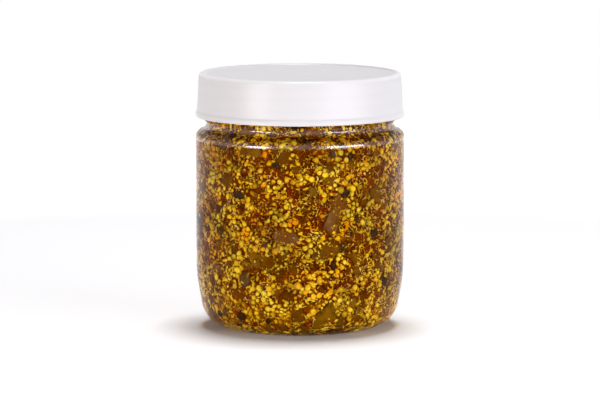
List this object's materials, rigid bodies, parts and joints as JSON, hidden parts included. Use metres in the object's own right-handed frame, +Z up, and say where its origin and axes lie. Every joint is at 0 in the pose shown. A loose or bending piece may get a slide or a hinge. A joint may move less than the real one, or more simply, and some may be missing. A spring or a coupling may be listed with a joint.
{
  "type": "jar of chilli pickle",
  "caption": "Clear wide-mouth jar filled with chilli pickle in oil, closed by a plain white screw lid.",
  "frame": {"origin": "centre of the base, in the plane the jar stands on", "axes": "+Z up along the jar's axis of turning, +X to the right and -Y to the front"},
  "size_m": [0.076, 0.076, 0.0924],
  "materials": {
    "clear_wall": "clear, smooth and glossy",
    "pickle": "wet, split yellow seeds and chilli in dark red-brown oil",
    "white_lid": "opaque white, semi-gloss"
  },
  "bodies": {
    "root": {"jar": "clear_wall", "pickle": "pickle", "lid": "white_lid"}
  },
  "joints": []
}
